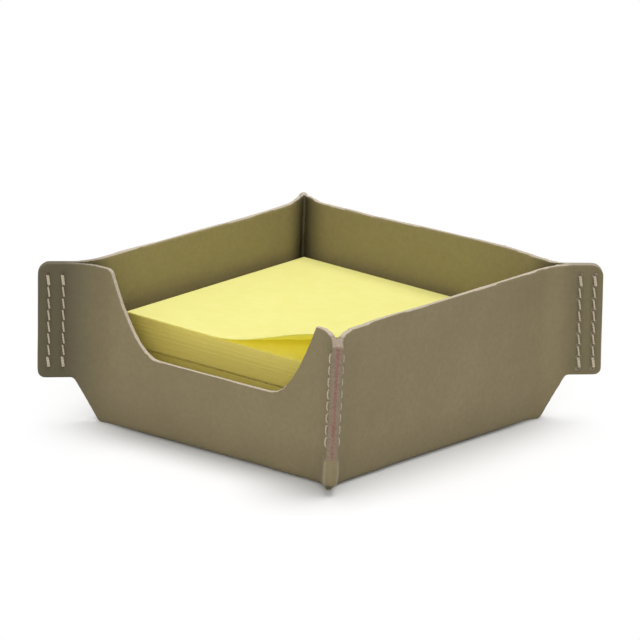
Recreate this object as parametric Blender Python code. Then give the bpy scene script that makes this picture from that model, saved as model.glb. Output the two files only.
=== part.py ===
"""Memo note holder: a leather tray, folded from one sheet and sewn at its pinched corners, with
three pads of square sticky notes and a loose top sheet.

Metres, +Z up. The origin is the centre of the tray's base, on the surface that it stands on. The
wall with the finger notch faces -Y. Corner 0 is at +X -Y, and the corners count anticlockwise.
"""

import math

import bmesh
import bpy
from mathutils import Matrix, Vector

# Notes
NOTE_SIDE = 0.076  # the sheets are square
PAD_THICKNESS = 0.0087  # at the glued edge, where the glue thickens a pad
PAD_FALL = 0.0007  # how much thinner a pad is at its free edge
BACKING = 0.0003
SHEET = 0.0002
LIFT_GAP = 0.0003  # between pads, and between the lowest pad and the tray
GLUE_GAP = 0.0001  # between a pad and the sheet that is stuck to it
STACK_TURN = math.radians(1.5)
SIDE_CLEARANCE = 0.0038  # stack to the -X wall's top
BACK_CLEARANCE = 0.0032  # stack to the +Y wall's top
PAD_SLIP = 0.0005  # how far out of line a pad may lie on the one below
PAD_TWIST = math.radians(0.5)

# Curl of the top sheet
CURL_LIFT = 0.0135  # rise of the curled corner
CURL_START_NEAR = 0.029  # flat length along the notch side, from the glued edge
CURL_START_FAR = 0.052  # flat length along the far side
CURL_POWER = 1.7
CURL_COLUMNS = 16
CURL_ROWS = 8

# Tray
NOTE_ROOM = 0.0112  # free room beside the notes at the base, both sides together
LEATHER = 0.0015
HEIGHT = 0.045
WALL_FLARE = 0.0011  # how far a wall leans out over its height
WALL_BELLY = 0.0009  # outward bow of a wall's top edge at mid span
BASE_PINCH = 0.0003  # inward bow of the base's edge
# The tray was pulled a little out of square: its base lies this far from under its top
BASE_SHIFT = (-0.0008, -0.00055)
BASE_FOLD = 0.0022  # outer radius from the base into a wall
FLOOR_FOLD = 0.0009  # inner radius of the same fold
FOLD_STEPS = 3
WALL_SPANS = 8
BEND_STEPS = 5
SEAM_GAP = 0.00012  # between two layers sewn face to face

# Finger notch
NOTCH_BOTTOM = 0.0223  # height of its lower edge
NOTCH_HALF_TOP = 0.0374
NOTCH_HALF_FLOOR = 0.020
NOTCH_OFFSET = 0.0018  # its middle lies this far towards +X
NOTCH_LIP = 0.0022
FLANK_STEPS = 8
# Control points of a flank, across and up
NOTCH_FLANK_SHARES = ((0.0, 0.0), (0.39, 0.0), (0.68, 0.405), (1.0, 1.0))

# Rim
RIM_RISES = (-0.0010, -0.0010, -0.0004, 0.0001)  # over HEIGHT, at the four corners
BACK_RIM_BOW = 0.0009  # how far the +Y wall's rim bows up between its corners
BACK_FIN_RISE = 0.0008  # how far the rim rises towards the back fin
BACK_FIN_RISE_RUN = 0.007
# The rim falls further towards the front fin, across and down
RIM_FALL_RUN = 0.024
RIM_FALL = 0.0032
NOTCH_SIDE_FALL_SHARES = ((0.0, 0.0), (0.75, 0.0), (0.62, 0.0), (1.0, 1.0))
PLAIN_SIDE_FALL_SHARES = ((0.0, 0.0), (0.35, 0.0), (0.8, 0.3), (1.0, 1.0))

# Narrow fins, at corners 0 and 2. A reach is past the square corner of the walls' tops
FIN_REACH = 0.0056
FIN_BEND = 0.012  # outer radius from a wall into the fin
FIN_TOP_RADIUS = 0.002
# How far a fin lies out of line, at its foot and at its top
FRONT_FIN_LEAN = (-0.0008, 0.0)
BACK_FIN_LEAN = (0.0006, 0.0006)
LEAN_RUN = 0.008  # stretch of wall that takes up the lean
FIN_SEAM_INSET = 0.0026  # seam to the fin's raw end
FIN_SEAM_FOOT = 0.0028  # nose to the lowest hole
FIN_SEAM_HEAD = 0.006  # highest hole to the top of the walls

# Folded nose under each fin
NOSE_TOP = 0.0098
NOSE_FULL = 0.0050  # height at which it stands out fully
NOSE_FOOT = 0.0009  # height at which it starts
NOSE_REACH = 0.0061
NOSE_FOOT_REACH = 0.0001  # reach of the corner of the base itself
NOSE_WIDTH = 0.0044
NOSE_ROOM = 0.0001  # least length of a nose past the bends beside it
NOSE_ROUND = 0.0015
NOSE_SHOULDER = 0.0014
NOSE_FOOT_SHARE = 0.3  # width of the nose at the base, of its full width
NOSE_STEPS = 3
NOSE_TIP_STEPS = 4
SLIT_RISE = 0.0004  # nose to the lowest point where the fin's two layers part

# Wide ears, at corners 1 and 3
EAR_REACH = 0.01235
EAR_BEND = 0.013
EAR_BOTTOM = 0.0124
EAR_TOP_RADIUS = 0.0034
EAR_BOTTOM_RADIUS = 0.002
EAR_SEAM_MARGIN = 0.003  # rows and end holes to the ear's edges
EAR_ROW_SPACING = 0.004
# The right ear's rows lie lower and further out
RIGHT_ROW_DROP = 0.001
RIGHT_ROW_SHIFT = 0.0005
# The cut-out under an ear: a slanted edge from the base to the ear's lower edge
RELIEF_IN = 0.0047
RELIEF_OUT = 0.0025
RELIEF_FILLET = 0.001

# Stitches
STITCHES = 8
THREAD_RADIUS = 0.0003
THREAD_CLEARANCE = 0.00008
HOLE_CLEARANCE = 0.00012
THREAD_TAIL = 0.0006  # length of a thread's end inside its hole
# Half the offset between the two strands in a hole, out and up, of the thread's radius
STRAND_SHARES = (1.4, 1.0)
HOLE_STEPS = 3

# Cutters
CUT_OVERRUN = 0.002
CUT_LIFT = 0.00005  # keeps a rounded cut from ending on the face that it leaves

# Sizes that follow
HALF = (NOTE_SIDE + NOTE_ROOM) / 2 + LEATHER
TOP_HALF = HALF + WALL_FLARE
SEAM_HALF = SEAM_GAP / 2
FIN_HALF = LEATHER + SEAM_HALF
ROOT_TWO = math.sqrt(2)
CORNER_COUNT = 4

LEATHER_COLOUR = (0.205, 0.175, 0.098)
THREAD_COLOUR = (0.43, 0.38, 0.29)
PAPER_COLOUR = (0.90, 0.83, 0.30)
PAD_COLOUR = (0.55, 0.46, 0.12)
BACKING_COLOUR = (0.62, 0.55, 0.20)


# Scene and materials


def clear_scene():
    for piece in list(bpy.data.objects):
        bpy.data.objects.remove(piece, do_unlink=True)


def material(name, colour, roughness):
    finish = bpy.data.materials.new(name)
    finish.use_nodes = True
    shader = finish.node_tree.nodes["Principled BSDF"]
    shader.inputs["Base Color"].default_value = (*colour, 1)
    shader.inputs["Roughness"].default_value = roughness
    shader.inputs["Metallic"].default_value = 0
    return finish


def add_piece(name, data, finish=None):
    piece = bpy.data.objects.new(name, data)
    bpy.context.scene.collection.objects.link(piece)
    if finish:
        data.materials.append(finish)
    return piece


def mesh_from(build, name):
    solid = bmesh.new()
    build(solid)
    bmesh.ops.recalc_face_normals(solid, faces=solid.faces)
    data = bpy.data.meshes.new(name)
    solid.to_mesh(data)
    solid.free()
    return data


# Solids from outlines


def add_loft(solid, loops, warped=False):
    """Closed solid through loops that all have the same number of points.

    Its sides and its last end are triangles where they are warped, and flat otherwise.
    """
    rings = []
    for loop in loops:
        rings.append([solid.verts.new(point) for point in loop])
    for low, high in zip(rings, rings[1:]):
        for i in range(len(low)):
            j = (i + 1) % len(low)
            if warped:
                solid.faces.new((low[i], low[j], high[j]))
                solid.faces.new((low[i], high[j], high[i]))
            else:
                solid.faces.new((low[i], low[j], high[j], high[i]))
    solid.faces.new(list(reversed(rings[0])))
    if warped:
        last = rings[-1]
        centre = solid.verts.new(sum(loops[-1], Vector()) / len(last))
        for i in range(len(last)):
            solid.faces.new((last[i], last[(i + 1) % len(last)], centre))
    else:
        solid.faces.new(rings[-1])


def add_prism(solid, outline, start, end):
    """An outline in X and Z, extruded along Y."""
    loops = [[Vector((x, y, z)) for x, z in outline] for y in (start, end)]
    add_loft(solid, loops)


def arc_points(centre, radius, first, last, steps):
    """Points on an arc, by angle in degrees."""
    points = []
    for i in range(steps + 1):
        angle = math.radians(first + (last - first) * i / steps)
        points.append((centre[0] + radius * math.cos(angle), centre[1] + radius * math.sin(angle)))
    return points


def bezier_point(controls, share):
    """A point on the cubic curve of four control points."""
    weights = (
        (1 - share) ** 3,
        3 * share * (1 - share) ** 2,
        3 * share**2 * (1 - share),
        share**3,
    )
    across = sum(weight * point[0] for weight, point in zip(weights, controls))
    up = sum(weight * point[1] for weight, point in zip(weights, controls))
    return across, up


# Plan of the tray


def wall_axes(index):
    """A wall's direction, anticlockwise, and its outward direction."""
    turn = Matrix.Rotation(math.radians(90 * index), 3, "Z")
    return turn @ Vector((1, 0, 0)), turn @ Vector((0, -1, 0))


def corner_axes(index):
    """World matrix of a corner: X out along the diagonal, Z up."""
    along, outward = wall_axes(index)
    place = (along + outward) * TOP_HALF
    return Matrix.Translation(place) @ Matrix.Rotation(math.radians(90 * index - 45), 4, "Z")


def corner_is_ear(index):
    return index % 2 == 1


def wall_bow(place, z):
    """Outward bow of a wall at a place along it, measured from its middle."""
    share = min(abs(place) / TOP_HALF, 1)
    bow = WALL_BELLY * z / HEIGHT - BASE_PINCH * (1 - z / HEIGHT)
    return bow * (1 - share**2)


def wall_out(index, z):
    """Distance of a wall's outer face from the Z axis, where it meets its corners."""
    _, outward = wall_axes(index % CORNER_COUNT)
    rise = z / HEIGHT
    return HALF + WALL_FLARE * rise + outward.xy.dot(BASE_SHIFT) * (1 - rise)


def fin_lean(index, z):
    """How far the fin at a corner lies out of line at a height."""
    foot, top = (FRONT_FIN_LEAN, (0, 0), BACK_FIN_LEAN, (0, 0))[index]
    return foot + (top - foot) * z / HEIGHT


def corner_shift(index, z):
    """Where the walls' square corner lies from its place at the top, out and across."""
    next_wall = wall_out(index + 1, z) - TOP_HALF
    this_wall = wall_out(index, z) - TOP_HALF
    return (next_wall + this_wall) / ROOT_TWO, (next_wall - this_wall) / ROOT_TWO


def bend_centre(inset, bend, half_width):
    """Centre of the bend from a wall into a corner, along and out from the square corner."""
    out = bend - inset
    return out - ROOT_TWO * (bend + half_width), out


def half_corner(inset, bend, half_width):
    """The bend from a wall's face into the side of a fin or an ear."""
    return arc_points(bend_centre(inset, bend, half_width), bend, -90, -45, BEND_STEPS)


def fitted_corner(index, z, inset, corner_shape):
    """A corner's shape, its reach from the walls' own corner and its bend short of its tip."""
    bend, half_width, reach, rounding = corner_shape(index)
    reach -= corner_shift(index, z)[0]
    room = reach - rounding - NOSE_ROOM + half_width + ROOT_TWO * inset
    return min(bend, room / (ROOT_TWO - 1)), half_width, reach, rounding


def corner_tip(reach, half_width, rounding):
    """The end of a fin or an ear, from one side to the other."""
    points = []
    for i in range(NOSE_TIP_STEPS + 1):
        angle = math.pi * i / NOSE_TIP_STEPS
        across = half_width * math.cos(angle)
        out = reach - rounding * (1 - math.sin(angle))
        points.append(((out - across) / ROOT_TWO, (out + across) / ROOT_TWO))
    return points


def plan_loop(z, inset, corner_shape):
    """One level of the tray: walls bowed outward, and a fin or an ear at each corner.

    corner_shape gives a corner's bend radius, half width, reach and tip rounding.
    """
    points = []
    for index in range(CORNER_COUNT):
        along, outward = wall_axes(index)
        here = wall_out(index, z)
        end = wall_out(index + 1, z)
        before = fitted_corner((index - 1) % CORNER_COUNT, z, inset, corner_shape)
        bend, half_width, reach, rounding = fitted_corner(index, z, inset, corner_shape)
        first = -wall_out(index - 1, z) - bend_centre(inset, before[0], before[1])[0]
        last = end + bend_centre(inset, bend, half_width)[0]
        for i in range(1, WALL_SPANS):
            place = first + (last - first) * i / WALL_SPANS
            out = here - inset + wall_bow(place, z)
            points.append(along * place + outward * out + Vector((0, 0, z)))
        turn_in = half_corner(inset, bend, half_width)
        local = []
        for s, o in turn_in:
            local.append((s, o + wall_bow(end + s, z)))
        local += corner_tip(reach, half_width, rounding)
        for s, o in reversed(turn_in):
            local.append((o + wall_bow(here + s, z), s))
        for s, o in local:
            share = min(max(1 + (s + o) / ROOT_TWO / LEAN_RUN, 0), 1)
            lean = fin_lean(index, z) / ROOT_TWO * share**2 * (3 - 2 * share)
            points.append(along * (end + s + lean) + outward * (here + o - lean) + Vector((0, 0, z)))
    return points


# Levels of the tray's outside


def nose_shape(z):
    """Bend, half width, reach and rounding of a fin at a height, with its nose below."""
    climb = min(max((z - NOSE_FOOT) / (NOSE_FULL - NOSE_FOOT), 0), 1)
    rise = math.sqrt(1 - (1 - climb) ** 2)
    half_width = NOSE_WIDTH / 2 * (NOSE_FOOT_SHARE + (1 - NOSE_FOOT_SHARE) * rise)
    reach = NOSE_FOOT_REACH + (NOSE_REACH - NOSE_FOOT_REACH) * rise
    rounding = NOSE_ROUND * rise
    climb = min(max((z - NOSE_TOP) / NOSE_SHOULDER + 1, 0), 1)
    fade = math.sqrt(1 - climb**2)
    half_width = FIN_HALF + (half_width - FIN_HALF) * fade
    reach = FIN_REACH + (reach - FIN_REACH) * fade
    return FIN_BEND, half_width, reach, rounding * fade


def outer_corner(z):
    def shape(index):
        if corner_is_ear(index):
            return EAR_BEND, FIN_HALF, EAR_REACH + CUT_OVERRUN, 0
        return nose_shape(z)

    return shape


def outer_levels():
    """Heights and insets from the base's fold up to the top edge."""
    levels = []
    for i in range(FOLD_STEPS + 1):
        angle = math.pi / 2 * i / FOLD_STEPS
        levels.append((BASE_FOLD * (1 - math.cos(angle)), BASE_FOLD * (1 - math.sin(angle))))
    shoulder = NOSE_TOP - NOSE_SHOULDER
    levels.append(((BASE_FOLD + NOSE_FULL) / 2, 0))
    levels.append((NOSE_FULL, 0))
    for i in range(NOSE_STEPS + 1):
        angle = math.pi / 2 * i / NOSE_STEPS
        levels.append((shoulder + NOSE_SHOULDER * math.sin(angle), 0))
    levels.append((HEIGHT, 0))
    return levels


def rim_rise(point):
    """Rise of the rim over HEIGHT at a place in plan."""
    index = 0
    for i in range(CORNER_COUNT):
        along, outward = wall_axes(i)
        if point.dot(outward) > abs(point.dot(along)):
            index = i
    along, _ = wall_axes(index)
    share = min(max(point.dot(along) / TOP_HALF, -1), 1)
    rises = RIM_RISES[index - 1], RIM_RISES[index]
    rise = rises[0] + (rises[1] - rises[0]) * (1 + share) / 2
    if index == 2:
        rise += BACK_RIM_BOW * (1 - share**4) * (1 - share)
    if index >= 2:
        to_fin = TOP_HALF * (1 - share if index == 2 else 1 + share)
        rise += BACK_FIN_RISE * max(1 - to_fin / BACK_FIN_RISE_RUN, 0)
    return rise


def build_outside(solid):
    loops = [plan_loop(z, inset, outer_corner(z)) for z, inset in outer_levels()]
    for point in loops[-1]:
        point.z += rim_rise(point)
    add_loft(solid, loops, warped=True)


# Levels of the hollow and the slits between sewn layers


def slit_corner(z, opened):
    """The hollow's corners: a fin's slit ends at its crease, or past its raw end if opened."""

    def shape(index):
        if corner_is_ear(index):
            return EAR_BEND + LEATHER, SEAM_HALF, EAR_REACH + 2 * CUT_OVERRUN, 0
        reach = crease_reach() + SEAM_GAP + corner_shift(index, z)[0]
        if opened:
            reach = FIN_REACH + CUT_OVERRUN
        return FIN_BEND + LEATHER, SEAM_HALF, reach, 0

    return shape


def crease_reach():
    """How far out the inside of a pinched corner comes to its crease."""
    s, o = half_corner(LEATHER, FIN_BEND + LEATHER, SEAM_HALF)[-1]
    return (s + o) / ROOT_TWO


def build_hollow(solid):
    levels = []
    for i in range(FOLD_STEPS):
        angle = math.pi / 2 * i / FOLD_STEPS
        z = LEATHER + FLOOR_FOLD * (1 - math.cos(angle))
        levels.append((z, LEATHER + FLOOR_FOLD * (1 - math.sin(angle)), False))
    slit_head = NOSE_TOP + SLIT_RISE + CUT_OVERRUN
    slit_foot = slit_head - (FIN_REACH + CUT_OVERRUN - crease_reach())
    levels.append((LEATHER + FLOOR_FOLD, LEATHER, False))
    levels.append((slit_foot, LEATHER, False))
    levels.append((slit_head, LEATHER, True))
    levels.append((HEIGHT + CUT_OVERRUN, LEATHER, True))
    loops = [plan_loop(z, inset, slit_corner(z, opened)) for z, inset, opened in levels]
    add_loft(solid, loops, warped=True)


# Cuts through the walls, fins and ears


def notch_outline():
    """Wide finger notch with curved flanks and rounded lips, in X and Z."""
    run = NOTCH_HALF_TOP - NOTCH_HALF_FLOOR
    rise = HEIGHT - NOTCH_BOTTOM
    controls = []
    for across, up in NOTCH_FLANK_SHARES:
        controls.append((NOTCH_HALF_FLOOR + run * across, NOTCH_BOTTOM + rise * up))
    slope = Vector(controls[3]) - Vector(controls[2])
    lean = math.degrees(math.atan2(slope.x, slope.y))
    lip_run = NOTCH_LIP * math.tan(math.radians(45 - lean / 2))
    lip_centre = (NOTCH_HALF_TOP + lip_run, HEIGHT - NOTCH_LIP + CUT_LIFT)
    lip = arc_points(lip_centre, NOTCH_LIP, 180 - lean, 90, BEND_STEPS)
    half = []
    for i in range(FLANK_STEPS + 1):
        point = bezier_point(controls, i / FLANK_STEPS)
        if point[1] < lip[0][1] - LEATHER:
            half.append(point)
    half += lip
    half.append((lip_centre[0], HEIGHT + CUT_OVERRUN))
    right = [(NOTCH_OFFSET + x, z) for x, z in half]
    left = [(NOTCH_OFFSET - x, z) for x, z in reversed(half)]
    return left + right


def build_notch(solid):
    outside = -TOP_HALF - WALL_BELLY - CUT_OVERRUN
    inside = -HALF + LEATHER + CUT_OVERRUN
    add_prism(solid, notch_outline(), outside, inside)


def back_fin_outline():
    """Everything above the back fin's rounded upper corner, out along the diagonal and up."""
    top = HEIGHT + RIM_RISES[2] + BACK_FIN_RISE + CUT_LIFT
    centre = (FIN_REACH - FIN_TOP_RADIUS + CUT_LIFT, top - FIN_TOP_RADIUS)
    points = arc_points(centre, FIN_TOP_RADIUS, 90, 0, BEND_STEPS)
    far = FIN_REACH + CUT_OVERRUN
    points.append((far, centre[1]))
    points.append((far, HEIGHT + CUT_OVERRUN))
    points.append((centre[0], HEIGHT + CUT_OVERRUN))
    return points


def front_fin_outline(shares):
    """Everything above the rim where it falls towards the front fin."""
    start = FIN_REACH + CUT_LIFT - RIM_FALL_RUN
    top = HEIGHT + RIM_RISES[0] + CUT_LIFT
    controls = []
    for across, down in shares:
        controls.append((start + RIM_FALL_RUN * across, top - RIM_FALL * down))
    points = [bezier_point(controls, i / FLANK_STEPS) for i in range(FLANK_STEPS + 1)]
    far = FIN_REACH + CUT_OVERRUN
    points.append((far, top - RIM_FALL))
    points.append((far, HEIGHT + CUT_OVERRUN))
    points.append((start, HEIGHT + CUT_OVERRUN))
    return points


def ear_outline(index):
    """Everything outside an ear, with the slanted cut-out below it."""
    lean = math.degrees(math.atan2(EAR_BOTTOM, RELIEF_IN + RELIEF_OUT))
    drop = CUT_OVERRUN / math.tan(math.radians(lean))
    points = [(-RELIEF_IN - drop, -CUT_OVERRUN)]
    fillet_run = RELIEF_FILLET * math.tan(math.radians(lean / 2))
    centre = (RELIEF_OUT + fillet_run, EAR_BOTTOM - RELIEF_FILLET)
    points += arc_points(centre, RELIEF_FILLET, 90 + lean, 90, HOLE_STEPS)
    low_centre = (EAR_REACH - EAR_BOTTOM_RADIUS, EAR_BOTTOM + EAR_BOTTOM_RADIUS)
    points += arc_points(low_centre, EAR_BOTTOM_RADIUS, -90, 0, BEND_STEPS)
    top = HEIGHT + RIM_RISES[index] + CUT_LIFT
    high_centre = (EAR_REACH - EAR_TOP_RADIUS, top - EAR_TOP_RADIUS)
    points += arc_points(high_centre, EAR_TOP_RADIUS, 0, 90, BEND_STEPS)
    far = EAR_REACH + 3 * CUT_OVERRUN
    points.append((high_centre[0], HEIGHT + CUT_OVERRUN))
    points.append((far, HEIGHT + CUT_OVERRUN))
    points.append((far, -CUT_OVERRUN))
    return points


def corner_cuts():
    """Name, corner, outline and both ends across of each cut that trims a corner."""
    across = RELIEF_IN + RELIEF_OUT + CUT_OVERRUN
    return (
        ("notch_side_rim", 0, front_fin_outline(NOTCH_SIDE_FALL_SHARES), -RIM_FALL_RUN, 0),
        ("plain_side_rim", 0, front_fin_outline(PLAIN_SIDE_FALL_SHARES), 0, RIM_FALL_RUN),
        ("right_ear_edge", 1, ear_outline(1), -across, across),
        ("back_fin_top", 2, back_fin_outline(), -across, across),
        ("left_ear_edge", 3, ear_outline(3), -across, across),
    )


def build_corner_cut(solid, trim):
    _, index, outline, near, far = trim
    add_prism(solid, outline, near, far)
    bmesh.ops.transform(solid, matrix=corner_axes(index), verts=solid.verts)


# Rows of stitches


def seam_rows():
    """Each seam: thread name, corner, distance out, and its lowest and highest holes."""
    fin_out = FIN_REACH - FIN_SEAM_INSET
    fin_low = NOSE_TOP + FIN_SEAM_FOOT
    fin_high = HEIGHT - FIN_SEAM_HEAD
    ear_out = EAR_REACH - EAR_SEAM_MARGIN
    ear_in = ear_out - EAR_ROW_SPACING
    low = EAR_BOTTOM + EAR_SEAM_MARGIN
    high = HEIGHT - EAR_SEAM_MARGIN
    right_out = ear_out + RIGHT_ROW_SHIFT
    right_in = ear_in + RIGHT_ROW_SHIFT
    right_low = low - RIGHT_ROW_DROP
    right_high = high - RIGHT_ROW_DROP
    return (
        ("front_seam_thread", 0, fin_out, fin_low, fin_high),
        ("back_seam_thread", 2, fin_out, fin_low, fin_high),
        ("right_ear_outer_thread", 1, right_out, right_low, right_high),
        ("right_ear_inner_thread", 1, right_in, right_low, right_high),
        ("left_ear_outer_thread", 3, ear_out, low, high),
        ("left_ear_inner_thread", 3, ear_in, low, high),
    )


def strand_offset():
    return Vector(STRAND_SHARES) * THREAD_RADIUS


def hole_outline(out, z):
    """A slanted slot for two strands side by side."""
    offset = strand_offset()
    lean = math.degrees(math.atan2(offset.y, offset.x))
    radius = THREAD_RADIUS + HOLE_CLEARANCE
    upper = arc_points((out + offset.x, z + offset.y), radius, lean - 90, lean + 90, HOLE_STEPS)
    lower = arc_points((out - offset.x, z - offset.y), radius, lean + 90, lean + 270, HOLE_STEPS)
    return upper + lower


def build_holes(solid, row):
    _, index, out, low, high = row
    half_width = FIN_HALF + CUT_OVERRUN
    for i in range(STITCHES + 1):
        z = low + (high - low) * i / STITCHES
        add_prism(solid, hole_outline(out, z), -half_width, half_width)
    bmesh.ops.transform(solid, matrix=corner_axes(index), verts=solid.verts)


def stitch_points(start, end, face):
    """A stitch on one face, from hole to hole: out of the leather, along it and in again."""
    surface = FIN_HALF + THREAD_RADIUS + THREAD_CLEARANCE
    step = (end - start).normalized() * THREAD_RADIUS
    low = surface - THREAD_RADIUS
    points = []
    for place, height in ((start, low), (start + step, surface), (end - step, surface), (end, low)):
        points.append(Vector((place.x, face * height, place.y)))
    return points


def thread_path(row):
    """One saddle-sewn thread: up the row and back, on alternate faces, both ends in hole 0."""
    _, index, out, low, high = row
    offset = strand_offset()
    holes = [Vector((out, low + (high - low) * i / STITCHES)) for i in range(STITCHES + 1)]
    tail = FIN_HALF - THREAD_TAIL
    first = holes[0] + offset
    points = [Vector((first.x, tail, first.y))]
    face = -1
    for i in range(STITCHES):
        side = -face
        points += stitch_points(holes[i] + offset * side, holes[i + 1] - offset * side, face)
        face = -face
    for i in reversed(range(STITCHES)):
        side = -face
        points += stitch_points(holes[i + 1] - offset * side, holes[i] + offset * side, face)
        face = -face
    last = holes[0] - offset
    points.append(Vector((last.x, tail, last.y)))
    for point in points:
        point.y += corner_shift(index, point.z)[1] + fin_lean(index, point.z)
    return points


def add_thread(row, finish):
    name, index = row[0], row[1]
    data = bpy.data.curves.new(name, "CURVE")
    data.dimensions = "3D"
    data.bevel_depth = THREAD_RADIUS
    data.bevel_resolution = 1
    data.use_fill_caps = True
    path = thread_path(row)
    spline = data.splines.new("POLY")
    spline.points.add(len(path) - 1)
    for point, place in zip(spline.points, path):
        point.co = (*place, 1)
    thread = add_piece(name, data, finish)
    thread.matrix_world = corner_axes(index)
    return thread


# The tray


def cut(piece, name, build):
    """Takes a solid out of a piece, at once."""
    cutter = add_piece(name, mesh_from(build, name))
    cutter.hide_render = True
    cutter.display_type = "WIRE"
    modifier = piece.modifiers.new(name, "BOOLEAN")
    modifier.operation = "DIFFERENCE"
    modifier.solver = "EXACT"
    modifier.object = cutter
    graph = bpy.context.evaluated_depsgraph_get()
    result = bpy.data.meshes.new_from_object(piece.evaluated_get(graph))
    piece.modifiers.clear()
    piece.data = result
    bpy.data.objects.remove(cutter, do_unlink=True)


def add_tray():
    finish = material("olive_leather", LEATHER_COLOUR, 0.62)
    tray = add_piece("leather_tray", mesh_from(build_outside, "leather_tray"), finish)
    cut(tray, "hollow", build_hollow)
    cut(tray, "finger_notch", build_notch)
    for trim in corner_cuts():
        cut(tray, trim[0], lambda solid, trim=trim: build_corner_cut(solid, trim))
    for row in seam_rows():
        cut(tray, f"holes_of_{row[0]}", lambda solid, row=row: build_holes(solid, row))
    tray.data.shade_smooth()
    tray.data.set_sharp_from_angle(angle=math.radians(30))
    thread_finish = material("waxed_thread", THREAD_COLOUR, 0.55)
    for row in seam_rows():
        add_thread(row, thread_finish)


# The notes


def slab(half, base, fall_below, thickness, fall):
    """A square slab whose under face falls by fall_below towards +X, and which thins by fall."""

    def build(solid):
        rings = []
        for rise, drop in ((0, fall_below), (thickness, fall_below + fall)):
            ring = []
            for x, y in ((-1, -1), (1, -1), (1, 1), (-1, 1)):
                ring.append(Vector((half * x, half * y, base + rise - drop * (x + 1) / 2)))
            rings.append(ring)
        add_loft(solid, rings)

    return build


def build_curled_sheet(solid):
    """The top note, flat at its glued edge and curled up at the near free corner.

    Its origin is the middle of the glued edge, X runs across the note.
    """
    columns = CURL_COLUMNS
    rows = CURL_ROWS
    under = []
    over = []
    for row in range(rows + 1):
        far = row / rows
        start = CURL_START_NEAR + (CURL_START_FAR - CURL_START_NEAR) * far
        full = NOTE_SIDE - CURL_START_NEAR
        x = 0
        lift = 0
        line_under = []
        line_over = []
        for column in range(columns + 1):
            along = NOTE_SIDE * column / columns
            rise = CURL_LIFT * (max(along - start, 0) / full) ** CURL_POWER
            step = NOTE_SIDE / columns if column else 0
            x += math.sqrt(max(step**2 - (rise - lift) ** 2, 0))
            lift = rise
            y = NOTE_SIDE * (far - 0.5)
            line_under.append(solid.verts.new((x, y, rise)))
            line_over.append(solid.verts.new((x, y, rise + SHEET)))
        under.append(line_under)
        over.append(line_over)
    for row in range(rows):
        for column in range(columns):
            for lines, flip in ((under, True), (over, False)):
                corners = [
                    lines[row][column],
                    lines[row][column + 1],
                    lines[row + 1][column + 1],
                    lines[row + 1][column],
                ]
                solid.faces.new(reversed(corners) if flip else corners)
    rim_under = sheet_rim(under)
    rim_over = sheet_rim(over)
    for i in range(len(rim_under)):
        j = (i + 1) % len(rim_under)
        solid.faces.new((rim_under[i], rim_under[j], rim_over[j], rim_over[i]))


def sheet_rim(lines):
    """The outer vertices of a grid, in order."""
    rim = list(lines[0])
    rim += [line[-1] for line in lines[1:]]
    rim += list(reversed(lines[-1][:-1]))
    rim += [line[0] for line in reversed(lines[1:-1])]
    return rim


def place_on_stack(piece, z, slip=0, twist=0):
    """Places a piece of the stack, a little out of line with the others."""
    x = SIDE_CLEARANCE + LEATHER + NOTE_SIDE / 2 - TOP_HALF + slip
    y = TOP_HALF - LEATHER - BACK_CLEARANCE - NOTE_SIDE / 2 - slip
    piece.location = (x, y, z)
    piece.rotation_euler = (0, 0, STACK_TURN + twist)


def add_notes():
    paper = material("note_paper", PAPER_COLOUR, 0.85)
    pad_finish = material("pad_paper", PAD_COLOUR, 0.9)
    backing_finish = material("backing_paper", BACKING_COLOUR, 0.8)
    half = NOTE_SIDE / 2
    z = LEATHER + LIFT_GAP
    fall = 0
    for name, slip_share in (("lower", 1), ("middle", -1), ("upper", 0)):
        slip = PAD_SLIP * slip_share
        twist = PAD_TWIST * slip_share
        sheet = slab(half, 0, fall, BACKING, 0)
        backing = add_piece(f"{name}_backing", mesh_from(sheet, f"{name}_backing"), backing_finish)
        place_on_stack(backing, z, slip, twist)
        z += BACKING + GLUE_GAP
        block = slab(half, 0, fall, PAD_THICKNESS, PAD_FALL)
        pad = add_piece(f"memo_pad_{name}", mesh_from(block, f"memo_pad_{name}"), pad_finish)
        place_on_stack(pad, z, slip, twist)
        z += PAD_THICKNESS + LIFT_GAP
        fall += PAD_FALL
    z += GLUE_GAP - LIFT_GAP
    top = add_piece("top_sheet", mesh_from(build_curled_sheet, "top_sheet"), paper)
    top.data.shade_smooth()
    top.data.set_sharp_from_angle(angle=math.radians(30))
    place_on_stack(top, z)
    lean = math.atan2(fall, NOTE_SIDE)
    turn = Matrix.Rotation(STACK_TURN, 4, "Z")
    edge = Matrix.Translation(Vector(top.location)) @ turn @ Matrix.Translation((-half, 0, 0))
    top.matrix_world = edge @ Matrix.Rotation(lean, 4, "Y")


def main():
    clear_scene()
    add_tray()
    add_notes()


main()
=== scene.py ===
"""Memo note holder: a folded and sewn leather tray with three pads of yellow notes.

Metres, +Z up. The tray's finger notch faces -Y.
"""

import math
import random

import bmesh
import bpy
import numpy as np
from mathutils import Matrix, Vector, noise
from mathutils.bvhtree import BVHTree


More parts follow.
